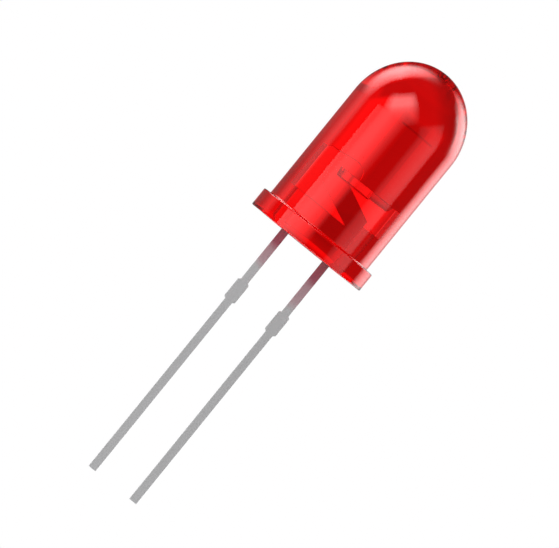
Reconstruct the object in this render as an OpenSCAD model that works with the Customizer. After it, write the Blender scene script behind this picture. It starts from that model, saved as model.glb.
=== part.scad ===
// Through hole LED with a clear red domed case and two stamped leads.
// The frame has Z up along the lens axis, with the origin at the centre of the flange's
// seating plane. The leads lie in the XZ plane: the cathode on +X and the anode on -X.
// All sizes are in millimetres.

/* [Lens] */
// Diameter of the straight barrel
lens_d = 5; // [4.8:0.05:5.3]
// Height of the dome's tip above the seating plane
lens_h = 9; // [8.2:0.1:10]
// Height of the domed end alone, a little more than the barrel's radius
dome_h = 2.75; // [2.4:0.05:3.2]

/* [Flange] */
// Diameter of the base flange
flange_d = 5.6; // [5.5:0.05:6]
// Thickness of the base flange
flange_t = 0.83; // [0.6:0.01:1.2]
// Rounding of the flange's two outer edges
flange_edge_r = 0.05; // [0.02:0.01:0.15]
// Fillet where the barrel meets the flange
root_r = 0.06; // [0.03:0.01:0.1]
// Width of the flat ring that seats, outside the hollow the shrinking resin leaves
seat_ring_w = 0.35; // [0.2:0.05:0.6]
// Depth of that hollow at the axis
hollow_h = 0.35; // [0.1:0.05:0.5]

/* [Leads] */
// Distance between the two leads, centre to centre
lead_pitch = 2.11; // [1.95:0.01:2.3]
// Width of a lead, across X
lead_w = 0.35; // [0.3:0.01:0.42]
// Thickness of a lead, across Y
lead_t = 0.35; // [0.25:0.01:0.45]
// Length of the leads below the seating plane
lead_len = 12.35; // [6:0.05:27]

/* [Standoffs] */
// Drop from the seating plane to the top of the standoff
standoff_drop = 2.6; // [1:0.05:4]
// Length of the standoff along the lead
standoff_h = 1.02; // [0.6:0.02:1.5]
// Width of the standoff
standoff_w = 0.54; // [0.46:0.01:0.8]
// Height of the sloped shoulder at each end of the standoff
standoff_shoulder = 0.07; // [0.02:0.01:0.2]

/* [Frame heads] */
// Thickness of the thick-gauge heads inside the case, across Y
head_t = 0.5; // [0.46:0.01:0.6]
// Overhang of each head past the outer side of its lead
head_lip = 0.17; // [0.08:0.01:0.25]
// Clear gap between the anvil's slanted cut and the post's arm
frame_gap = 0.78; // [0.65:0.01:0.95]

/* [Cathode anvil] */
// Height of the reflector cup's rim above the seating plane
rim_z = 3.45; // [3.3:0.05:3.65]
// Height of the anvil's lowest corner
toe_z = 2.1; // [1.95:0.05:2.25]
// Width of the flat at that corner
toe_w = 0.15; // [0.06:0.01:0.25]
// Depth of the anvil's free end, where the slanted cut runs out
nose_h = 0.12; // [0.08:0.01:0.25]
// Depth of the swelled bar that joins the cup to the anvil's shoulder
bar_h = 0.34; // [0.2:0.02:0.5]
// Thickness of the swelled bar, across Y
bar_t = 0.64; // [0.62:0.01:0.8]

/* [Reflector cup] */
// Inner diameter of the cup at its rim
cup_rim_d = 1.05; // [0.9:0.05:1.15]
// Diameter of the cup's flat floor
cup_floor_d = 0.62; // [0.58:0.02:0.75]
// Depth of the cup
cup_depth = 0.33; // [0.28:0.01:0.4]
// Thickness of the coned wall round the cup
cup_wall = 0.12; // [0.08:0.01:0.15]
// Thickness of the metal under the cup's floor
cup_floor_t = 0.17; // [0.1:0.01:0.25]

/* [Anode post] */
// Height of the post's top above the seating plane
post_z = 3.88; // [3.75:0.02:4.2]
// Width of the sloped outer corner of the post's top
post_bevel_w = 0.16; // [0.06:0.01:0.25]
// Height of that sloped corner
post_bevel_h = 0.12; // [0.05:0.01:0.3]
// Height of the arm's level underside
arm_z = 1.65; // [1.58:0.01:1.8]
// Depth of the arm's blunt tip
arm_tip_h = 0.06; // [0.03:0.01:0.12]

/* [Die] */
// Side of the square light-emitting die
die_w = 0.3; // [0.2:0.01:0.34]
// Height of the die
die_h = 0.2; // [0.12:0.01:0.22]
// Thickness of the adhesive under the die
attach_t = 0.03; // [0.02:0.005:0.05]
// Width of the adhesive squeezed out past the die's corners
attach_rim = 0.02; // [0.01:0.005:0.03]

/* [Bond wire] */
// Diameter of the wire
wire_d = 0.03; // [0.02:0.005:0.05]
// Diameter of the ball that bonds the wire to the die
ball_d = 0.09; // [0.07:0.01:0.14]
// Height of the ball
ball_h = 0.04; // [0.03:0.005:0.06]
// Height of the loop's control points above the post's top
loop_h = 0.45; // [0.3:0.05:0.7]
// Length of the stitch that lies on the post's top
stitch_len = 0.1; // [0.05:0.01:0.12]
// Distance from the post's inner edge to the start of the stitch
stitch_inset = 0.14; // [0.08:0.01:0.16]

/* [Hidden] */

// Facets for round pieces, small rounds and the wire
round_fn = 96;
small_fn = 48;
wire_fn = 8;

// Lens
lens_r = lens_d / 2;
flange_r = flange_d / 2;
spring_z = lens_h - dome_h;
hollow_r = flange_r - seat_ring_w;

// Leads: their centre line and the two sides of the +X one
lead_x = lead_pitch / 2;
lead_inner_x = lead_x - lead_w / 2;
lead_outer_x = lead_x + lead_w / 2;
head_outer_x = lead_outer_x + head_lip;

// Cup
cup_rim_r = cup_rim_d / 2;
cup_floor_r = cup_floor_d / 2;
cup_floor_z = rim_z - cup_depth;
boss_z = cup_floor_z - cup_floor_t;
boss_r = cup_rim_r + cup_wall;

// Anvil: its slanted cut runs from the toe to the nose inside the cup's wall
nose_x = -(cup_rim_r + cup_wall / 2);
toe_x = head_outer_x - toe_w;
cut_slope = (rim_z - nose_h - toe_z) / (toe_x - nose_x);
function cut_z(x) = toe_z + (toe_x - x) * cut_slope;

// Arm: its top runs parallel to the cut, one gap away, and ends in the blunt tip
gap_drop = frame_gap * sqrt(1 + cut_slope * cut_slope);
function arm_top_z(x) = cut_z(x) - gap_drop;
arm_tip_x = toe_x + (toe_z - gap_drop - arm_z - arm_tip_h) / cut_slope;

// Die and adhesive
die_z = cup_floor_z + attach_t;
die_top_z = die_z + die_h;
attach_r = die_w / sqrt(2) + attach_rim;

// Bond wire: a Bezier loop from the top of the ball to the start of the stitch
wire_r = wire_d / 2;
loop_steps = 18;
neck_h = ball_h + wire_d;
stitch_x = -lead_inner_x - stitch_inset;
stitch_z = post_z + wire_r * cos(180 / wire_fn);
loop_from = [0, die_top_z + neck_h];
loop_up = [0, post_z + loop_h];
loop_over = [stitch_x + loop_h, stitch_z];
loop_to = [stitch_x, stitch_z];

function bezier(t) =
    pow(1 - t, 3) * loop_from
    + 3 * pow(1 - t, 2) * t * loop_up
    + 3 * (1 - t) * pow(t, 2) * loop_over
    + pow(t, 3) * loop_to;

function bezier_way(t) =
    pow(1 - t, 2) * (loop_up - loop_from)
    + 2 * (1 - t) * t * (loop_over - loop_up)
    + pow(t, 2) * (loop_to - loop_over);

// Each ring of the wire is its centre in XZ, its direction of travel and its radius
ball_rings = [
    [[0, die_top_z], [0, 1], ball_d * 0.4],
    [[0, die_top_z + ball_h * 0.4], [0, 1], ball_d * 0.5],
    [[0, die_top_z + ball_h], [0, 1], ball_d * 0.3],
];
loop_rings = [
    for (i = [0 : loop_steps])
        [bezier(i / loop_steps), bezier_way(i / loop_steps), wire_r]
];
stitch_rings = [[[stitch_x - stitch_len, stitch_z], [-1, 0], wire_r]];
wire_rings = concat(ball_rings, loop_rings, stitch_rings);

// The points of one ring: a polygon square to the wire's way, with a flat facing down
// where the wire runs level
function ring_points(ring) =
    let (
        way = ring[1] / norm(ring[1]),
        side = [-way[1], way[0]]
    )
    [
        for (i = [0 : wire_fn - 1])
            let (
                a = (i + 0.5) * 360 / wire_fn,
                across = ring[2] * cos(a),
                along_y = ring[2] * sin(a)
            )
            [ring[0][0] + across * side[0], along_y, ring[0][1] + across * side[1]]
    ];

// Draws a flat shape of the XZ plane as a plate of thickness t, centred on that plane
module plate(t) {
    rotate([90, 0, 0])
        linear_extrude(t, center = true)
            children();
}

// Half section of the case: barrel, dome, flange and the fillet between them
module case_section() {
    // barrel
    square([lens_r, spring_z]);
    // dome
    intersection() {
        translate([0, spring_z])
            scale([1, dome_h / lens_r])
                circle(lens_r, $fn = round_fn);
        square([lens_r, lens_h]);
    }
    // flange with its two rounded edges
    square([flange_r - flange_edge_r, flange_t]);
    translate([0, flange_edge_r])
        square([flange_r, flange_t - 2 * flange_edge_r]);
    for (z = [flange_edge_r, flange_t - flange_edge_r])
        translate([flange_r - flange_edge_r, z])
            circle(flange_edge_r, $fn = small_fn);
    // fillet
    translate([lens_r, flange_t])
        difference() {
            square(root_r);
            translate([root_r, root_r])
                circle(root_r, $fn = small_fn);
        }
}

// Half section of the hollow under the flange
module hollow_section() {
    intersection() {
        scale([1, hollow_h / hollow_r])
            circle(hollow_r, $fn = round_fn);
        square([hollow_r, hollow_h]);
    }
}

// The case is cast round the frame, so each piece inside leaves its own shape in it
module epoxy_case() {
    color([0.86, 0.04, 0.05, 0.75])
        difference() {
            rotate_extrude($fn = round_fn)
                difference() {
                    case_section();
                    hollow_section();
                }
            cathode_lead();
            anode_lead();
            die_attach();
            led_die();
            bond_wire();
        }
}

// Front outline of one lead with its standoff, centred on x = 0, up to height top
module lead_outline(top) {
    half_w = lead_w / 2;
    half_s = standoff_w / 2;
    upper = -standoff_drop;
    lower = upper - standoff_h;
    translate([-half_w, -lead_len])
        square([lead_w, lead_len + top]);
    polygon([
        [-half_w, lower], [half_w, lower],
        [half_s, lower + standoff_shoulder], [half_s, upper - standoff_shoulder],
        [half_w, upper], [-half_w, upper],
        [-half_s, upper - standoff_shoulder], [-half_s, lower + standoff_shoulder],
    ]);
}

// Front outline of the anvil with its slanted cut
module anvil_outline() {
    polygon([
        [nose_x, rim_z - nose_h], [toe_x, toe_z], [head_outer_x, toe_z],
        [head_outer_x, rim_z], [nose_x, rim_z],
    ]);
}

// The swelled bar from the cup to the rounded end over the anvil's shoulder
module anvil_bar() {
    bar_end_x = head_outer_x - bar_t / 2;
    translate([0, -bar_t / 2, rim_z - bar_h])
        cube([bar_end_x, bar_t, bar_h]);
    translate([bar_end_x, 0, rim_z - bar_h])
        cylinder(h = bar_h, d = bar_t, $fn = small_fn);
}

module cathode_lead() {
    color([0.78, 0.78, 0.79])
        difference() {
            union() {
                translate([lead_x, 0, 0])
                    plate(lead_t) lead_outline(rim_z - bar_h / 2);
                plate(head_t) anvil_outline();
                anvil_bar();
                // coned boss round the cup
                translate([0, 0, boss_z])
                    cylinder(h = rim_z - boss_z, r1 = cup_floor_r + cup_wall, r2 = boss_r,
                        $fn = small_fn);
            }
            // coned cup, carried on past the rim for a clean cut
            translate([0, 0, cup_floor_z])
                cylinder(h = 2 * cup_depth, r1 = cup_floor_r,
                    r2 = 2 * cup_rim_r - cup_floor_r, $fn = small_fn);
        }
}

// Front outline of the post with the arm that reaches under the anvil
module post_outline() {
    polygon([
        [-head_outer_x, arm_z], [arm_tip_x, arm_z], [arm_tip_x, arm_z + arm_tip_h],
        [-lead_inner_x, arm_top_z(-lead_inner_x)], [-lead_inner_x, post_z],
        [-head_outer_x + post_bevel_w, post_z], [-head_outer_x, post_z - post_bevel_h],
    ]);
}

module anode_lead() {
    color([0.78, 0.78, 0.79]) {
        translate([-lead_x, 0, 0])
            plate(lead_t) lead_outline((arm_z + post_z) / 2);
        plate(head_t) post_outline();
    }
}

module die_attach() {
    color([0.62, 0.62, 0.6])
        translate([0, 0, cup_floor_z])
            cylinder(h = attach_t, r = attach_r, $fn = small_fn);
}

module led_die() {
    color([0.45, 0.12, 0.1])
        translate([-die_w / 2, -die_w / 2, die_z])
            cube([die_w, die_w, die_h]);
}

module bond_wire() {
    last = len(wire_rings) - 1;
    color([0.95, 0.78, 0.35])
        polyhedron(
            points = [for (ring = wire_rings) each ring_points(ring)],
            faces = concat(
                [[for (i = [0 : wire_fn - 1]) i]],
                [
                    for (k = [0 : last - 1], i = [0 : wire_fn - 1])
                        let (
                            a = k * wire_fn + i,
                            b = k * wire_fn + (i + 1) % wire_fn
                        )
                        each [[a, a + wire_fn, b + wire_fn], [a, b + wire_fn, b]]
                ],
                [[for (i = [wire_fn - 1 : -1 : 0]) last * wire_fn + i]]
            )
        );
}

epoxy_case();
cathode_lead();
anode_lead();
die_attach();
led_die();
bond_wire();
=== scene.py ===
"""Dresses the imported 5 mm through hole LED: clear red casting, plated leads, die and wire.

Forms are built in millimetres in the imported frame, with the origin on the lens axis in the plane
of the seating ring, +Z towards the dome and +X towards the cathode. They become metres in finished().
"""
import math

import bmesh
import bpy
from mathutils import Matrix, Vector


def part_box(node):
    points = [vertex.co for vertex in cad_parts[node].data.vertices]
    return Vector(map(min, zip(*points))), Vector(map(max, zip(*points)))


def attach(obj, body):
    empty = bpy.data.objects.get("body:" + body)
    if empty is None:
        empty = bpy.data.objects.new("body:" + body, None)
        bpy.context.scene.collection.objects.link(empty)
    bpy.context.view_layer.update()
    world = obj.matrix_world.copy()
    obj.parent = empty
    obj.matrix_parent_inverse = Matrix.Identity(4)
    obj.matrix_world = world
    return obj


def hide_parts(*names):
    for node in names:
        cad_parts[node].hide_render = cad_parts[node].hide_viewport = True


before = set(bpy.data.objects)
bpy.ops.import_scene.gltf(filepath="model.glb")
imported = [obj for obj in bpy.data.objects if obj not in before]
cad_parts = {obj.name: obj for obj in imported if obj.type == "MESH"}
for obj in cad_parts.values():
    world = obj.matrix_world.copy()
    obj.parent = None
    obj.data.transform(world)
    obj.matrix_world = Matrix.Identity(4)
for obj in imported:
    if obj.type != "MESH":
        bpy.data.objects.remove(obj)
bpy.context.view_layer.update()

MM = 0.001

# ---- sizes of the casting, in millimetres ----
LENS_R = 2.5
FLANGE_R = 2.8
FLANGE_T = 0.83
FLANGE_EDGE_R = 0.05
ROOT_R = 0.06  # fillet between the barrel and the flange
SEAT_RING_W = 0.35
HOLLOW_H = 0.35  # height of the hollow in the underside
DOME_H = 2.75
LENS_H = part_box("epoxy_case")[1].z / MM
SPRING_Z = LENS_H - DOME_H
EDGE_HOLD = 0.02  # short flat beside each rounding, which keeps the shading of the flats even
BARREL_ROWS = 24
CASE_SIDES = 256

# ---- sizes of the leads and what they carry, in millimetres ----
TIP_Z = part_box("cathode_lead")[0].z / MM
LEAD_X = 1.055
LEAD_W = 0.35
STANDOFF_W = 0.54
STANDOFF_TOP = -2.6
STANDOFF_H = 1.02
SHOULDER = 0.07
HEAD_T = 0.5
HEAD_OUTER_X = 1.40
RIM_Z = 3.45
NOSE = (-0.585, 3.33)  # left end of the anvil's slanted underside
TOE_X = 1.25
TOE_Z = 2.1
CUT_SLOPE = 0.67  # rise over run of the cut between the anvil and the post's arm
BAR_H = 0.34
BAR_T = 0.64
# height above the bar's underside, and draw-in of its sides at its start and at its round end
BAR_STEPS = (
    (0, 0.05, 0.085), (0.03, 0.035, 0.068), (0.12, 0.014, 0.044), (0.2, 0.008, 0.026), (0.31, 0, 0.002),
    (BAR_H, 0.015, 0.02),
)
BOSS_Z = 3.05
BOSS_R = 0.61
BOSS_CORNER_R = 0.08
CUP_RIM_R = 0.525
CUP_FLOOR_R = 0.31
CUP_FLOOR_Z = 3.12
ARM_Z = 1.65
ARM_TIP = (0.41, 0.06)  # how far to the right the post's arm reaches, and its height there
POST_Z = 3.88
POST_BEVEL = (0.16, 0.12)
STRIP_INTO_POST = 0.5  # how far the lead's strip runs up inside the post
ROLLED_EDGE = 0.02
STRIP_EDGE = 0.012
WELD = 0.002  # points left nearer together than this by the booleans become one
DIE_W = 0.30
DIE_Z = (3.15, 3.35)
DIE_SQUARENESS = 24  # power of the die's outline in squared_ring
WIRE_R = 0.015
# height above the die and radius, up the ball at the wire's start
BALL = ((0, 0.034), (0.005, 0.041), (0.016, 0.045), (0.028, 0.041), (0.036, 0.03), (0.042, 0.02),
        (0.05, 0.0165))
# control points (x, z) of the wire's loop
LOOP = ((0, 3.42), (0, 4.33), (-0.57, 3.894), (-1.02, 3.894))
# x, half width and half thickness along the flattened stitch at the wire's end
STITCH = ((-1.04, 0.018, 0.013), (-1.06, 0.026, 0.009), (-1.09, 0.034, 0.006), (-1.12, 0.03, 0.003))

# ---- where the leads' finishes and the painted light and shade on them change, in millimetres ----
CATHODE_SILVER_Z = TOE_Z  # silver above this height
ANODE_SILVER_Z = 0.1
SILVER_FADE = 0.02
CATHODE_FILM_AND_SHADE_END = -2.4  # red film of epoxy, with painted red light from the case and painted shade under the flange, down to this height
ANODE_FILM_AND_SHADE_END = -1.8
FILM_AND_SHADE_WANDER = 0.8  # how far noise moves the lower end of the film and its painted light and shade
FILM_AND_SHADE_FADE = 0.1  # height inside the case at which the tint of the film and painted shade is gone
TORN_Y = (0.07, 0.09)  # from these places to the back, the punched sides are torn
TORN_WANDER = 0.08

# ---- camera: the photograph's roll through a long lens ----
ROLL = math.radians(39.11)
AIM = Vector((-0.137, 0, -1.49)) * MM
VIEW_WIDTH = 22.56 * MM
CAMERA_DISTANCE = 250 * MM
SENSOR = 36

# ---- floor, far enough below the lead tips to stay out of the photograph's view ----
FLOOR_DROP = 8 * MM
FLOOR_R = 45 * MM
FLOOR_FADE = (0.4, 0.95)  # shares of its radius between which its paper turns to plain white
FLOOR_PAPER = 0.8

# ---- studio ----
WORLD_FILL = 0.35  # even light on matt surfaces; with the lamps it shows a grey about as it is written
CENTRE = Vector((0, 0, 4.5)) * MM  # middle of the panels' spheres, half way up the case
UPRIGHT = ROLL  # tilt of the panels that stand upright in the photograph
PANEL_STEP = 2  # degrees between a panel's points
LAMP_R = 0.20  # the lamps' distance in metres
TENT_R = 0.40
TENT_LEVEL = 0.03


def add_camera():
    """Looks along +Y at the leads' plane, with the photograph's roll."""
    data = bpy.data.cameras.new("photo_camera")
    data.sensor_width = SENSOR
    data.lens = SENSOR * CAMERA_DISTANCE / VIEW_WIDTH
    data.clip_start = 0.01
    data.clip_end = 10
    camera = bpy.data.objects.new("photo_camera", data)
    right = Vector((math.cos(ROLL), 0, math.sin(ROLL)))
    up = Vector((-math.sin(ROLL), 0, math.cos(ROLL)))
    back = right.cross(up)
    turn = Matrix((right, up, back)).transposed().to_4x4()
    camera.matrix_world = Matrix.Translation(AIM + back * CAMERA_DISTANCE) @ turn
    bpy.context.scene.collection.objects.link(camera)
    bpy.context.scene.camera = camera


def link(name, mesh):
    """A new object at the origin, in the scene."""
    obj = bpy.data.objects.new(name, mesh)
    bpy.context.scene.collection.objects.link(obj)
    return obj


# ---- casting ----
def arc(cx, cz, rx, rz, start, end, steps):
    """Points of an arc from start to end, in degrees, both ends included."""
    turns = [math.radians(start + (end - start) * i / steps) for i in range(steps + 1)]
    return [(cx + rx * math.cos(t), cz + rz * math.sin(t)) for t in turns]


def case_profile():
    """Half section of the casting, from the top of the hollow in its underside to the dome's top."""
    hollow_r = FLANGE_R - SEAT_RING_W
    edge_x = FLANGE_R - FLANGE_EDGE_R
    cap_r = (hollow_r ** 2 + HOLLOW_H ** 2) / (2 * HOLLOW_H)
    cap_end = math.degrees(math.acos(hollow_r / cap_r))
    points = arc(0, HOLLOW_H - cap_r, cap_r, cap_r, 90, cap_end, 40)
    points += [(hollow_r + EDGE_HOLD, 0), (edge_x - EDGE_HOLD, 0)]
    points += arc(edge_x, FLANGE_EDGE_R, FLANGE_EDGE_R, FLANGE_EDGE_R, -90, 0, 8)
    points += [(FLANGE_R, FLANGE_EDGE_R + EDGE_HOLD), (FLANGE_R, FLANGE_T - FLANGE_EDGE_R - EDGE_HOLD)]
    points += arc(edge_x, FLANGE_T - FLANGE_EDGE_R, FLANGE_EDGE_R, FLANGE_EDGE_R, 0, 90, 8)
    points += [(edge_x - EDGE_HOLD, FLANGE_T), (LENS_R + ROOT_R + EDGE_HOLD, FLANGE_T)]
    points += arc(LENS_R + ROOT_R, FLANGE_T + ROOT_R, ROOT_R, ROOT_R, 270, 180, 8)
    foot = FLANGE_T + ROOT_R + EDGE_HOLD
    barrel = SPRING_Z - FLANGE_T - ROOT_R - 2 * EDGE_HOLD
    points += [(LENS_R, foot + barrel * i / BARREL_ROWS) for i in range(BARREL_ROWS + 1)]
    points += arc(0, SPRING_Z, LENS_R, DOME_H, 0, 90, 72)
    return points


def turned(profile, segments):
    """A solid of revolution whose profile starts and ends on the axis."""
    bm = bmesh.new()
    rings = []
    for r, z in profile:
        if r < 1e-6:
            rings.append([bm.verts.new((0, 0, z))])
        else:
            rings.append([
                bm.verts.new((r * math.cos(a), r * math.sin(a), z))
                for a in (2 * math.pi * i / segments for i in range(segments))
            ])
    for low, high in zip(rings, rings[1:]):
        for i in range(segments):
            j = (i + 1) % segments
            corners = [low[i % len(low)], low[j % len(low)], high[j % len(high)], high[i % len(high)]]
            bm.faces.new(list(dict.fromkeys(corners)))
    bmesh.ops.recalc_face_normals(bm, faces=bm.faces)
    return bm


def lofted(rings):
    """A solid through closed rings with the same number of points, capped at both ends."""
    bm = bmesh.new()
    loops = [[bm.verts.new(point) for point in ring] for ring in rings]
    n = len(loops[0])
    for low, high in zip(loops, loops[1:]):
        for i in range(n):
            bm.faces.new((low[i], low[(i + 1) % n], high[(i + 1) % n], high[i]))
    bm.faces.new(loops[0])
    bm.faces.new(loops[-1])
    bmesh.ops.recalc_face_normals(bm, faces=bm.faces)
    return bm


def plate(outline, thickness, edge):
    """A stamped plate in the plane of the two leads, from its front outline, with its edges rolled over."""
    half = thickness / 2
    bm = lofted([[(x, y, z) for x, z in outline] for y in (-half, half)])
    sharp = [e for e in bm.edges if e.calc_face_angle(0) > math.radians(20)]
    bmesh.ops.bevel(bm, geom=sharp, offset=edge, segments=3, profile=0.5, affect="EDGES")
    return bm


def finished(name, bm, crease):
    """Makes an object in metres from a mesh in millimetres; edges past the crease angle stay sharp."""
    mesh = bpy.data.meshes.new(name)
    bm.to_mesh(mesh)
    bm.free()
    mesh.transform(Matrix.Scale(MM, 4))
    mesh.shade_smooth()
    mesh.set_sharp_from_angle(angle=math.radians(crease))
    return link(name, mesh)


def merged(forms, cuts=()):
    """One closed mesh from overlapping ones, less the cuts, still in millimetres."""
    objects = []
    for bm in (*forms, *cuts):
        mesh = bpy.data.meshes.new("form")
        bm.to_mesh(mesh)
        bm.free()
        objects.append(link("form", mesh))
    base = objects[0]
    for i, other in enumerate(objects[1:], start=1):
        step = base.modifiers.new("step", "BOOLEAN")
        step.solver = "EXACT"
        step.operation = "UNION" if i < len(forms) else "DIFFERENCE"
        step.object = other
    whole = bmesh.new()
    whole.from_object(base, bpy.context.evaluated_depsgraph_get())
    for obj in objects:
        mesh = obj.data
        bpy.data.objects.remove(obj)
        bpy.data.meshes.remove(mesh)
    bmesh.ops.remove_doubles(whole, verts=whole.verts, dist=WELD)
    return whole


# ---- leads and what they carry ----
def strip_outline(x, top):
    """Front outline of a lead with its standoff, from its tip up to the given height."""
    half = LEAD_W / 2
    wide = STANDOFF_W / 2
    low = STANDOFF_TOP - STANDOFF_H
    side = [(half, TIP_Z), (half, low), (wide, low + SHOULDER), (wide, STANDOFF_TOP - SHOULDER),
            (half, STANDOFF_TOP), (half, top)]
    return [(x + dx, z) for dx, z in side] + [(x - dx, z) for dx, z in reversed(side)]


def bar_ring(up, start_inset, end_inset):
    """Outline of the swelled bar at a height above its underside."""
    start_r = BAR_T / 2 - start_inset
    end_r = BAR_T / 2 - end_inset
    rounded = arc(HEAD_OUTER_X - BAR_T / 2, 0, end_r, end_r, -90, 90, 24)
    return [(x, y, RIM_Z - BAR_H + up) for x, y in [(0, -start_r)] + rounded + [(0, start_r)]]


def cathode_form():
    """Lead, anvil, swelled bar and the boss with the reflector cup sunk into it."""
    anvil = [NOSE, (TOE_X, TOE_Z), (HEAD_OUTER_X, TOE_Z), (HEAD_OUTER_X, RIM_Z), (NOSE[0], RIM_Z)]
    foot_r = BOSS_R - 0.1  # the boss is a little narrower at its foot, and rounded there
    boss = [(0, BOSS_Z)]
    boss += arc(foot_r, BOSS_Z + BOSS_CORNER_R, BOSS_CORNER_R, BOSS_CORNER_R, -90, -5, 10)
    boss += [(BOSS_R - 0.01, RIM_Z - 0.1), (BOSS_R, RIM_Z - ROLLED_EDGE)]
    boss += [(BOSS_R - ROLLED_EDGE, RIM_Z), (0, RIM_Z)]
    past = 0.2  # the cup's cut goes on above the rim along the same slope
    slope = (CUP_RIM_R - CUP_FLOOR_R) / (RIM_Z - CUP_FLOOR_Z)
    cup = [(0, CUP_FLOOR_Z), (CUP_FLOOR_R - 0.02, CUP_FLOOR_Z), (CUP_FLOOR_R + 0.01, CUP_FLOOR_Z + 0.015)]
    cup += [(CUP_RIM_R, RIM_Z), (CUP_RIM_R + slope * past, RIM_Z + past), (0, RIM_Z + past)]
    forms = [
        plate(anvil, HEAD_T, ROLLED_EDGE),
        plate(strip_outline(LEAD_X, RIM_Z - BAR_H), LEAD_W, STRIP_EDGE),
        lofted([bar_ring(*step) for step in BAR_STEPS]),
        turned(boss, 64),
    ]
    return merged(forms, [turned(cup, 64)])


def anode_form():
    """Lead and post, with the arm that reaches under the anvil."""
    inner_x = -LEAD_X + LEAD_W / 2
    arm_end_z = ARM_Z + ARM_TIP[1]
    arm_root_z = arm_end_z + CUT_SLOPE * (ARM_TIP[0] - inner_x)
    post = [
        (-HEAD_OUTER_X, ARM_Z), (ARM_TIP[0], ARM_Z), (ARM_TIP[0], arm_end_z), (inner_x, arm_root_z),
        (inner_x, POST_Z), (-HEAD_OUTER_X + POST_BEVEL[0], POST_Z), (-HEAD_OUTER_X, POST_Z - POST_BEVEL[1]),
    ]
    strip = strip_outline(-LEAD_X, ARM_Z + STRIP_INTO_POST)
    return merged([plate(post, HEAD_T, ROLLED_EDGE), plate(strip, LEAD_W, STRIP_EDGE)])


def squared_ring(half, power, z, sides=48):
    """A ring between a circle (power 2) and a square (high power)."""
    points = []
    for i in range(sides):
        c = math.cos(2 * math.pi * i / sides)
        s = math.sin(2 * math.pi * i / sides)
        r = half / (abs(c) ** power + abs(s) ** power) ** (1 / power)
        points.append((r * c, r * s, z))
    return points


def adhesive_form():
    """A dab that has wetted the cup's floor and crept up the sides of the die."""
    # half width, squareness, and height above the cup's floor
    steps = ((0.232, 2, 0), (0.234, 2.1, 0.006), (0.222, 2.5, 0.016), (0.2, 3.2, 0.026), (0.178, 5, 0.04),
             (0.162, 9, 0.062))
    return lofted([squared_ring(half, power, CUP_FLOOR_Z + up) for half, power, up in steps])


def die_form():
    """A sawn block of crystal with a narrower etched step at its top."""
    low, high = DIE_Z
    # draw-in of the sides, and height
    steps = ((0, low), (0, high - 0.05), (0.008, high - 0.042), (0.014, high - 0.004), (0.018, high))
    return lofted([squared_ring(DIE_W / 2 - inset, DIE_SQUARENESS, z) for inset, z in steps])


def wire_form():
    """The ball on the die, the loop, and the flattened stitch on the post."""
    path = [((0, DIE_Z[1] + up), (0, 1), r, r) for up, r in BALL]
    a, b, c, d = (Vector(point) for point in LOOP)
    steps = 60
    for i in range(steps + 1):
        t = i / steps
        spot = a * (1 - t) ** 3 + b * 3 * t * (1 - t) ** 2 + c * 3 * t * t * (1 - t) + d * t ** 3
        way = ((b - a) * (1 - t) ** 2 + (c - b) * 2 * t * (1 - t) + (d - c) * t * t).normalized()
        path.append((spot, way, WIRE_R, WIRE_R))
    path += [((x, POST_Z + thick), (-1, 0), wide, thick) for x, wide, thick in STITCH]
    sides = 16
    turns = [2 * math.pi * i / sides for i in range(sides)]
    rings = []
    for (x, z), (way_x, way_z), wide, thick in path:
        around = [(wide * math.cos(turn), thick * math.sin(turn)) for turn in turns]
        rings.append([(x - way_z * over, across, z + way_x * over) for across, over in around])
    return lofted(rings)


# ---- materials ----
# colours by the value of a pattern; for the leads' red tint it runs from its ragged lower end at 0 to the
# case at 1: a red film of epoxy, with painted red light from the case and painted shade, darkest under the
# flange
TIN = [(0.35, (0.66, 0.66, 0.67)), (0.5, (0.7, 0.7, 0.705)), (0.65, (0.74, 0.74, 0.745))]
RED_FILM_AND_SHADE = [
    (0, (1, 1, 1)), (0.2, (0.97, 0.68, 0.73)), (0.52, (0.95, 0.6, 0.66)), (0.68, (0.76, 0.24, 0.32)),
    (0.84, (0.72, 0.24, 0.3)), (1, (0.46, 0.22, 0.24)),
]
SILVER = [(0.3, (0.93, 0.93, 0.94)), (0.7, (0.97, 0.97, 0.97))]
TORN_TIN = (0.42, 0.42, 0.43)
CRYSTAL = [(0.35, (0.16, 0.03, 0.025)), (0.65, (0.3, 0.07, 0.05))]
CONTACT_GOLD = (0.9, 0.66, 0.28)
FLAKES = [(0, (0.42, 0.42, 0.4)), (1, (0.78, 0.78, 0.76))]
WIRE_GOLD = [(0.3, (0.9, 0.62, 0.24)), (0.7, (1.0, 0.76, 0.36))]


def new_material(name):
    """A material with an empty node tree, its tree and its output."""
    material = bpy.data.materials.new(name)
    material.use_nodes = True
    tree = material.node_tree
    tree.nodes.clear()
    return material, tree, tree.nodes.new("ShaderNodeOutputMaterial")


def ramp(tree, value, stops):
    """Colour or grey by value: stops are (position, (r, g, b))."""
    node = tree.nodes.new("ShaderNodeValToRGB")
    marks = node.color_ramp.elements
    while len(marks) < len(stops):
        marks.new(0.5)
    for mark, (place, color) in zip(marks, stops):
        mark.position = place
        mark.color = (*color, 1)
    tree.links.new(value, node.inputs["Fac"])
    return node.outputs["Color"]


def noise(tree, scale, detail=3.0, stretch=(1, 1, 1)):
    """Noise in the object's own metres; scale is features per metre."""
    where = tree.nodes.new("ShaderNodeTexCoord")
    size = tree.nodes.new("ShaderNodeMapping")
    size.inputs["Scale"].default_value = [scale * s for s in stretch]
    tree.links.new(where.outputs["Object"], size.inputs["Vector"])
    node = tree.nodes.new("ShaderNodeTexNoise")
    node.inputs["Scale"].default_value = 1.0
    node.inputs["Detail"].default_value = detail
    tree.links.new(size.outputs[0], node.inputs["Vector"])
    return node.outputs["Fac"]


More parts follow.
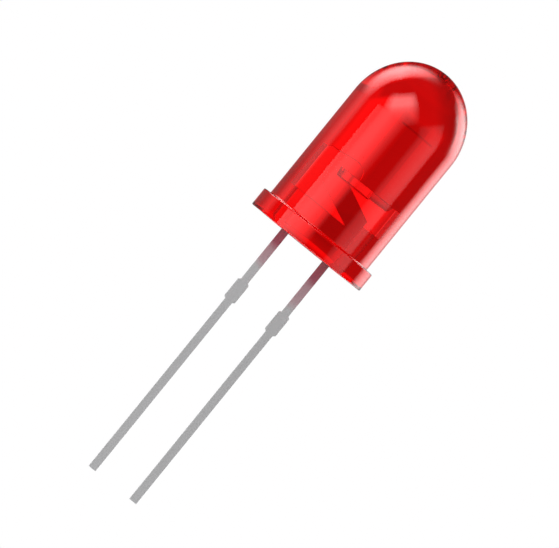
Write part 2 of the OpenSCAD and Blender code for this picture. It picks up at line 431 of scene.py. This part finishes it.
def math_node(tree, operation, a, b=0):
    """Result of a Math node on a and b, each a socket or a plain number."""
    node = tree.nodes.new("ShaderNodeMath")
    node.operation = operation
    for socket, value in zip(node.inputs, (a, b)):
        if isinstance(value, (int, float)):
            socket.default_value = value
        else:
            tree.links.new(value, socket)
    return node.outputs[0]


def mix_color(tree, factor, a, b, blend="MIX"):
    """Colour a at factor 0 and b at factor 1, each a socket or a plain value."""
    node = tree.nodes.new("ShaderNodeMix")
    node.data_type = "RGBA"
    node.blend_type = blend
    for socket, value in ((node.inputs[0], factor), (node.inputs[6], a), (node.inputs[7], b)):
        if isinstance(value, (int, float)):
            socket.default_value = value
        elif isinstance(value, tuple):
            socket.default_value = (*value, 1)
        else:
            tree.links.new(value, socket)
    return node.outputs[2]


def map_range(tree, value, low, high, out_low=0.0, out_high=1.0, curve="LINEAR"):
    """Value carried from low..high to out_low..out_high, held at both ends."""
    node = tree.nodes.new("ShaderNodeMapRange")
    node.interpolation_type = curve
    node.inputs["From Min"].default_value = low
    node.inputs["From Max"].default_value = high
    node.inputs["To Min"].default_value = out_low
    node.inputs["To Max"].default_value = out_high
    tree.links.new(value, node.inputs["Value"])
    return node.outputs[0]


def bump(tree, height, depth, strength=1.0):
    """A normal from a height of 0 to 1 that is depth metres deep."""
    node = tree.nodes.new("ShaderNodeBump")
    node.inputs["Distance"].default_value = depth
    node.inputs["Strength"].default_value = strength
    tree.links.new(height, node.inputs["Height"])
    return node.outputs[0]


def place(tree, axis):
    """The surface's own X, Y or Z in metres."""
    where = tree.nodes.new("ShaderNodeTexCoord")
    split = tree.nodes.new("ShaderNodeSeparateXYZ")
    tree.links.new(where.outputs["Object"], split.inputs[0])
    return split.outputs[axis]


def mix_value(tree, factor, a, b):
    """Number a at factor 0 and b at factor 1, each a socket or a plain value."""
    node = tree.nodes.new("ShaderNodeMix")
    for socket, value in ((node.inputs[0], factor), (node.inputs[2], a), (node.inputs[3], b)):
        if isinstance(value, (int, float)):
            socket.default_value = value
        else:
            tree.links.new(value, socket)
    return node.outputs[0]


def principled(name, metallic):
    """A material with one Principled shader, its tree and that shader."""
    material, tree, out = new_material(name)
    bsdf = tree.nodes.new("ShaderNodeBsdfPrincipled")
    bsdf.inputs["Metallic"].default_value = metallic
    tree.links.new(bsdf.outputs[0], out.inputs["Surface"])
    return material, tree, bsdf


def lead_material(name, silver_z, film_and_shade_end):
    """Matt tin with a red film of epoxy, painted red light from the case and painted shade under the flange
    down to a given height, and bright silver above silver_z.
    """
    material, tree, bsdf = principled(name, 1)
    y = place(tree, "Y")
    z = place(tree, "Z")
    silver = map_range(tree, z, (silver_z - SILVER_FADE) * MM, (silver_z + SILVER_FADE) * MM)

    # rolled tin, under a red film of epoxy with painted red light from the case and painted shade under the
    # flange, whose lower end wanders with the blotches
    streaks = noise(tree, 4500, 2, (1, 1, 0.04))
    blotches = noise(tree, 900, 2, (1, 1, 0.5))
    rolled = mix_value(tree, 0.5, streaks, blotches)
    wander = math_node(tree, "MULTIPLY", math_node(tree, "SUBTRACT", blotches, 0.5), FILM_AND_SHADE_WANDER * MM)
    film_and_shade = map_range(tree, math_node(tree, "ADD", z, wander), film_and_shade_end * MM, 0)
    outside = map_range(tree, z, FILM_AND_SHADE_FADE * MM, 0)
    filmed_and_shaded = mix_color(tree, outside, ramp(tree, rolled, TIN), ramp(tree, film_and_shade, RED_FILM_AND_SHADE), "MULTIPLY")
    color = mix_color(tree, silver, filmed_and_shaded, ramp(tree, rolled, SILVER))

    # the punch leaves the back half of each side torn, and darker where tin covers it
    shape = tree.nodes.new("ShaderNodeNewGeometry")
    facing = tree.nodes.new("ShaderNodeSeparateXYZ")
    tree.links.new(shape.outputs["Normal"], facing.inputs[0])
    side = map_range(tree, math_node(tree, "ABSOLUTE", facing.outputs["X"]), 0.75, 0.95)
    ragged = noise(tree, 12000, 3, (1, 1, 0.4))
    depth = math_node(tree, "ADD", y, math_node(tree, "MULTIPLY", ragged, TORN_WANDER * MM))
    torn = math_node(tree, "MULTIPLY", side, map_range(tree, depth, TORN_Y[0] * MM, TORN_Y[1] * MM))
    soiled = math_node(tree, "MULTIPLY", torn, map_range(tree, silver, 0, 1, 0.45, 0))
    tree.links.new(mix_color(tree, soiled, color, TORN_TIN), bsdf.inputs["Base Color"])

    # matt tin, smoother silver, and the roughest on the sides
    dull = map_range(tree, rolled, 0.3, 0.7, 0.48, 0.4)
    shine = mix_value(tree, silver, dull, 0.24)
    tree.links.new(mix_value(tree, side, shine, 0.6), bsdf.inputs["Roughness"])
    shaped = bump(tree, mix_value(tree, torn, rolled, ragged), 0.01 * MM)
    firmness = mix_value(tree, torn, mix_value(tree, silver, 0.2, 0.04), 0.6)
    tree.links.new(firmness, shaped.node.inputs["Strength"])
    tree.links.new(shaped, bsdf.inputs["Normal"])
    return material


def die_material():
    """Dark red crystal, sawn sides, and a round gold contact in the middle of the top."""
    material, tree, bsdf = principled("die_crystal", 0)
    bsdf.inputs["IOR"].default_value = 2.4
    x, y, z = (place(tree, axis) for axis in "XYZ")
    squares = [math_node(tree, "MULTIPLY", across, across) for across in (x, y)]
    from_axis = math_node(tree, "SQRT", math_node(tree, "ADD", *squares))
    round_pad = map_range(tree, from_axis, 0.062 * MM, 0.058 * MM)
    on_top = map_range(tree, z, (DIE_Z[1] - 0.002) * MM, (DIE_Z[1] - 0.001) * MM)
    pad = math_node(tree, "MULTIPLY", round_pad, on_top)
    saw = noise(tree, 60000, 3, (1, 1, 0.1))
    tree.links.new(mix_color(tree, pad, ramp(tree, saw, CRYSTAL), CONTACT_GOLD), bsdf.inputs["Base Color"])
    tree.links.new(pad, bsdf.inputs["Metallic"])
    sides = mix_value(tree, on_top, 0.45, 0.12)
    tree.links.new(mix_value(tree, pad, sides, 0.3), bsdf.inputs["Roughness"])
    tree.links.new(bump(tree, saw, 0.002 * MM, 0.4), bsdf.inputs["Normal"])
    return material


def adhesive_material():
    """Silver flakes in resin."""
    material, tree, bsdf = principled("silver_adhesive", 1)
    flakes = tree.nodes.new("ShaderNodeTexVoronoi")
    where = tree.nodes.new("ShaderNodeTexCoord")
    tree.links.new(where.outputs["Object"], flakes.inputs["Vector"])
    flakes.inputs["Scale"].default_value = 120000
    tint = tree.nodes.new("ShaderNodeSeparateColor")
    tree.links.new(flakes.outputs["Color"], tint.inputs[0])
    tree.links.new(ramp(tree, tint.outputs[0], FLAKES), bsdf.inputs["Base Color"])
    tree.links.new(map_range(tree, tint.outputs[1], 0, 1, 0.35, 0.7), bsdf.inputs["Roughness"])
    tree.links.new(bump(tree, tint.outputs[0], 0.004 * MM, 0.5), bsdf.inputs["Normal"])
    return material


def wire_material():
    """Drawn gold with fine lines along the wire."""
    material, tree, bsdf = principled("gold_wire", 1)
    drawn = noise(tree, 90000, 2, (0.1, 1, 0.3))
    tree.links.new(ramp(tree, drawn, WIRE_GOLD), bsdf.inputs["Base Color"])
    tree.links.new(map_range(tree, drawn, 0.3, 0.7, 0.3, 0.2), bsdf.inputs["Roughness"])
    tree.links.new(bump(tree, drawn, 0.001 * MM, 0.3), bsdf.inputs["Normal"])
    return material


def epoxy_material():
    """Polished casting with a faint unevenness from its mould, dyed red all through."""
    material, tree, out = new_material("red_epoxy")
    bsdf = tree.nodes.new("ShaderNodeBsdfPrincipled")
    bsdf.inputs["Base Color"].default_value = (1, 0.9, 0.9, 1)
    bsdf.inputs["Transmission Weight"].default_value = 1
    bsdf.inputs["Roughness"].default_value = 0
    bsdf.inputs["IOR"].default_value = 1.54
    tree.links.new(bsdf.outputs[0], out.inputs["Surface"])
    mould = noise(tree, 700, 2)
    tree.links.new(bump(tree, mould, 0.0006 * MM), bsdf.inputs["Normal"])
    dye = tree.nodes.new("ShaderNodeVolumeAbsorption")
    dye.inputs["Color"].default_value = (0.987, 0.01, 0.012, 1)
    dye.inputs["Density"].default_value = 1240
    tree.links.new(dye.outputs[0], out.inputs["Volume"])
    return material


# ---- panels round the object ----
def direction(azimuth, elevation):
    """Azimuth 0 is where the camera stands, positive towards +X; elevation is towards +Z."""
    a = math.radians(azimuth)
    e = math.radians(elevation)
    return Vector((math.sin(a) * math.cos(e), -math.cos(a) * math.cos(e), math.sin(e)))


def between(stops, at):
    """Level at an angle, along straight lines through (angle, level) stops; 0 outside them."""
    for (a, low), (b, high) in zip(stops, stops[1:]):
        if a <= at <= b:
            return low + (high - low) * (at - a) / (b - a)
    return 0


def spread(stops):
    """Every stop's angle, with even steps between them."""
    places = []
    for (a, _), (b, _) in zip(stops, stops[1:]):
        count = max(1, round((b - a) / PANEL_STEP))
        places += [a + (b - a) * i / count for i in range(count)]
    return places + [stops[-1][0]]


def panel_material():
    """Emission from the mesh's own level, plus whatever is behind it in the share "past"."""
    material, tree, out = new_material("panel_light")
    glow = tree.nodes.new("ShaderNodeEmission")
    level = tree.nodes.new("ShaderNodeAttribute")
    level.attribute_name = "level"
    tree.links.new(level.outputs["Fac"], glow.inputs["Strength"])
    behind = tree.nodes.new("ShaderNodeBsdfTransparent")
    past = tree.nodes.new("ShaderNodeAttribute")
    past.attribute_name = "past"
    tree.links.new(past.outputs["Fac"], behind.inputs["Color"])
    both = tree.nodes.new("ShaderNodeAddShader")
    tree.links.new(glow.outputs[0], both.inputs[0])
    tree.links.new(behind.outputs[0], both.inputs[1])
    tree.links.new(both.outputs[0], out.inputs["Surface"])
    return material


def edge_ramp(stops, at, soft):
    """Rises from 0 to 1 over a soft border soft degrees wide."""
    inside = min(at - stops[0][0], stops[-1][0] - at)
    return min(1.0, inside / soft) if soft else 1.0


def panel(name, across, up, radius, material, seen_by, tilt=0.0, cover=0.0, soft=(0, 0)):
    """A curved card round the object. across and up are (angle, level) stops in degrees.

    A lamp has cover 0 and adds to what is behind it. A card has cover 1 and hides it, apart
    from its soft borders, whose widths in degrees are soft.
    """
    azimuths = spread(across)
    elevations = spread(up)
    turn = Matrix.Rotation(-tilt, 3, "Y")
    verts = []
    levels = []
    past = []
    for e in elevations:
        for a in azimuths:
            verts.append(CENTRE + turn @ direction(a, e) * radius)
            border = edge_ramp(across, a, soft[0]) * edge_ramp(up, e, soft[1])
            levels.append(between(across, a) * between(up, e) * border)
            past.append(1 - cover * border)
    n = len(azimuths)
    faces = [
        (r * n + c, r * n + c + 1, (r + 1) * n + c + 1, (r + 1) * n + c)
        for r in range(len(elevations) - 1) for c in range(n - 1)
    ]
    mesh = bpy.data.meshes.new(name)
    mesh.from_pydata(verts, [], faces)
    mesh.attributes.new("level", "FLOAT", "POINT").data.foreach_set("value", levels)
    mesh.attributes.new("past", "FLOAT", "POINT").data.foreach_set("value", past)
    mesh.materials.append(material)
    obj = link(name, mesh)
    obj.visible_camera = False
    obj.visible_shadow = False
    obj.visible_glossy = "glossy" in seen_by
    obj.visible_transmission = "transmission" in seen_by
    obj.visible_diffuse = "diffuse" in seen_by


def add_world():
    """Even light on matt surfaces, and white where the camera, gloss and glass look past the object."""
    world = bpy.data.worlds.new("white_room")
    bpy.context.scene.world = world
    world.use_nodes = True
    tree = world.node_tree
    path = tree.nodes.new("ShaderNodeLightPath")
    seen = math_node(tree, "MAXIMUM", path.outputs["Is Camera Ray"], path.outputs["Is Glossy Ray"])
    seen = math_node(tree, "MAXIMUM", seen, path.outputs["Is Transmission Ray"])
    back = tree.nodes["Background"]
    back.inputs["Color"].default_value = (1, 1, 1, 1)
    tree.links.new(map_range(tree, seen, 0, 1, WORLD_FILL, 1), back.inputs["Strength"])


def add_softboxes(glow):
    """The lights that the case mirrors, inside a dark tent."""
    def lamp(name, across, up, tilt=0.0):
        panel(name, across, up, LAMP_R, glow, ("glossy", "diffuse"), tilt)

    panel("dark_tent",
          [(-180, TENT_LEVEL), (180, TENT_LEVEL)],
          [(-90, 1), (90, 1)],
          TENT_R, glow, ("glossy",), cover=1)
    # the bright patch on the dome's front, and the long highlight from it down the barrel
    lamp("key_box",
         [(-46, 0), (-40, 0.9), (-25, 3.5), (8, 3.5), (15, 3.0), (23, 1.6), (28, 0)],
         [(0, 0), (14, 0.21), (22, 0.33), (30, 0.58), (37, 1), (47, 1), (54, 0.5), (60, 0)],
         UPRIGHT)
    lamp("key_wing",
         [(-66, 1.7), (-50, 1.6), (-40, 0.6), (-30, 0.1), (-25, 0)],
         [(-80, 1), (-2, 1), (5, 0)])
    # from behind, the edge of the dome at its top and left
    lamp("top_box",
         [(90, 0), (100, 0.3), (120, 1.9), (144, 3.4), (176, 4.5), (200, 4.1), (224, 2.9), (240, 2.1),
          (256, 1.4), (270, 0)],
         [(36, 0), (41, 0.08), (46, 0.3), (54, 0.76), (62, 1), (72, 1), (80, 0.85), (90, 0.4)],
         UPRIGHT + math.radians(7))
    # from behind, the right edge of the dome, the barrel and the flange, and the dome's right shoulder
    lamp("rim_box",
         [(110, 0), (113, 0.8), (117, 2.2), (122, 3.4), (131, 4.0), (143, 3.4), (150, 2.1), (157, 0.6),
          (163, 0)],
         [(-80, 0.5), (-5, 0.5), (0, 0.56), (10, 0.78), (20, 1), (36, 0.95), (44, 0.55), (50, 0.25),
          (55, 0)])
    lamp("rim_wing",
         [(100, 0), (105, 0.2), (110, 1.2), (114, 2.2), (119, 1.2), (126, 0)],
         [(4, 0), (16, 1), (38, 1), (46, 0)])
    # the soft sheen on the barrel's right half, and the faint one at its left edge
    lamp("fill_box",
         [(26, 0), (32, 0.4), (60, 0.85), (72, 0.8), (78, 0)],
         [(-80, 1), (-34, 1), (-18, 0.65), (-6, 0.5), (0, 0)],
         UPRIGHT)
    lamp("left_glow",
         [(-165, 0.1), (-135, 0.17), (-118, 0.12), (-95, 0)],
         [(-80, 1), (8, 1), (16, 0)])
    # the paper behind, mirrored at a grazing angle along both edges
    lamp("paper_behind",
         [(150, 0), (162, 0.55), (172, 0.9), (188, 0.9), (197, 0.2), (206, 0)],
         [(-80, 0.5), (-14, 0.5), (-6, 1), (4, 1), (14, 0)],
         UPRIGHT)
    # low in front, for the leads
    lamp("low_front",
         [(-75, 0), (-45, 1), (45, 1), (75, 0)],
         [(-85, 1.3), (-25, 1.3), (-12, 0)])


def add_cards(glow):
    """The pale and grey cards that show through the case, each in front of the one before it."""
    def card(name, across, up, radius, tilt=0.0, soft=(0, 0)):
        panel(name, across, up, radius, glow, ("transmission",), tilt, 1, soft)

    # behind the case; each half of the case shows the cards on the other side
    card("grey_wall",
         [(100, 0.5), (128, 0.65), (142, 0.85), (157, 0.85), (163, 0.6), (172, 0.64), (200, 0.66),
          (210, 0.5), (222, 0.38), (240, 0.42)],
         [(-90, 1), (90, 1)],
         0.36, UPRIGHT)
    card("white_table",
         [(80, 1.0), (230, 1.0)],
         [(-90, 1), (-33, 1)],
         0.35, UPRIGHT + math.radians(13.6), (0, 3))
    card("left_card",
         [(-134, 0.9), (-115, 0.8), (-90, 0.7)],
         [(-90, 1), (90, 1)],
         0.34, math.radians(17), (3, 0))
    card("bright_card",
         [(134, 1.1), (146, 1.2), (168, 1.2), (180, 1.05), (188, 0.9)],
         [(-21, 1), (40, 1)],
         0.33, UPRIGHT, (4, 4))
    card("left_bands",
         [(-166, 0.7), (-161, 0.84), (-153, 0.78), (-148, 0.46), (-136, 0.42), (-131, 0.55), (-124, 0.88),
          (-96, 0.85)],
         [(-13, 1), (14, 1)],
         0.32, soft=(1, 5))
    card("middle_band",
         [(-186, 1.0), (-182, 0.7), (-177, 0.48), (-168, 0.5), (-164, 0.68)],
         [(-7, 1), (14, 1)],
         0.31, soft=(1, 4))
    card("right_edge",
         [(86, 0.38), (111, 0.4), (123, 0.55), (135, 0.85), (141, 1.05)],
         [(-7, 1), (14, 1)],
         0.30, soft=(2, 4))
    card("edge_flag",
         [(84, 0.2), (111, 0.2), (119, 0.33), (126, 0.46), (132, 0.72)],
         [(-7, 1), (0.3, 1), (1.3, 1)],
         0.295, soft=(2, 1))
    card("card_above",
         [(90, 1), (270, 1)],
         [(9, 1.05), (32, 1.05), (40, 0.9), (48, 0.6), (80, 0.4)],
         0.29, soft=(2, 4))
    # in front of the case, where the metal inside mirrors it
    card("card_in_front",
         [(-95, 2.0), (-70, 1.8), (-58, 1.3), (-48, 0.7), (-40, 0.65), (-36, 0.95), (-31, 1.45), (-25, 1.6),
          (0, 1.2), (60, 1.3), (95, 1.6)],
         [(-62, 0), (-50, 0.1), (-38, 0.33), (-30, 0.6), (-22, 1), (60, 1)],
         0.28, soft=(5, 5))
    # small ones low behind the case, for the darker red between the flange and the bar
    card("low_flag",
         [(-183, 0.36), (-170, 0.36), (-164, 0.45)],
         [(-0.5, 1), (-0.3, 1), (0.65, 1), (0.95, 1)],
         0.27, soft=(2.5, 0.2))
    card("side_flag",
         [(-167, 0.5), (-162, 0.56), (-155, 0.62)],
         [(-0.28, 1), (-0.2, 1), (0.65, 1), (0.95, 1)],
         0.26, soft=(2, 0.08))


def floor_material():
    """Pale and matt under the object, white like the room further out."""
    material, tree, out = new_material("studio_floor")
    paper = tree.nodes.new("ShaderNodeBsdfDiffuse")
    paper.inputs["Color"].default_value = (FLOOR_PAPER, FLOOR_PAPER, FLOOR_PAPER, 1)
    white = tree.nodes.new("ShaderNodeEmission")
    where = tree.nodes.new("ShaderNodeTexCoord")
    away = tree.nodes.new("ShaderNodeVectorMath")
    away.operation = "LENGTH"
    tree.links.new(where.outputs["Object"], away.inputs[0])
    near, far = (share * FLOOR_R for share in FLOOR_FADE)
    fade = map_range(tree, away.outputs["Value"], near, far, curve="SMOOTHSTEP")
    mix = tree.nodes.new("ShaderNodeMixShader")
    for socket, source in zip(mix.inputs, (fade, paper.outputs[0], white.outputs[0])):
        tree.links.new(source, socket)
    tree.links.new(mix.outputs[0], out.inputs["Surface"])
    return material


def add_floor():
    """A round of paper under the object, which the case neither mirrors nor shows through itself."""
    bm = bmesh.new()
    bmesh.ops.create_circle(bm, cap_ends=True, segments=96, radius=FLOOR_R)
    mesh = bpy.data.meshes.new("floor")
    bm.to_mesh(mesh)
    bm.free()
    mesh.materials.append(floor_material())
    floor = link("floor", mesh)
    floor.location = (0, 0, TIP_Z * MM - FLOOR_DROP)
    floor.visible_glossy = False
    floor.visible_transmission = False


# ---- build ----
cathode_plating = lead_material("plated_cathode", CATHODE_SILVER_Z, CATHODE_FILM_AND_SHADE_END)
anode_plating = lead_material("plated_anode", ANODE_SILVER_Z, ANODE_FILM_AND_SHADE_END)
PIECES = (
    # name, form, crease angle, material, the CAD node it stands for, the record's slot
    ("cast_case", turned(case_profile(), CASE_SIDES), 40, epoxy_material(), "epoxy_case", "red_epoxy"),
    ("anvil_and_lead", cathode_form(), 14, cathode_plating, "cathode_lead", "plated_lead"),
    ("post_and_lead", anode_form(), 14, anode_plating, "anode_lead", "plated_lead"),
    ("adhesive_dab", adhesive_form(), 50, adhesive_material(), "die_attach", "silver_adhesive"),
    ("crystal", die_form(), 30, die_material(), "led_die", "die_crystal"),
    ("looped_wire", wire_form(), 50, wire_material(), "bond_wire", "gold_wire"),
)

add_camera()
for name, form, crease, material, node, slot in PIECES:
    piece = finished(name, form, crease)
    piece.data.materials.append(material)
    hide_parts(node)
    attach(piece, "root")
add_world()
glow = panel_material()
add_softboxes(glow)
add_cards(glow)
add_floor()

scene = bpy.context.scene
scene.view_settings.view_transform = "Standard"
# with the normals as well, the denoiser leaves speckle on the thin slanting leads
scene.cycles.denoising_input_passes = "RGB_ALBEDO"
# enough for light to pass through the case, mirror in the metal and come out again
scene.cycles.max_bounces = 24
scene.cycles.glossy_bounces = 16
scene.cycles.transmission_bounces = 24
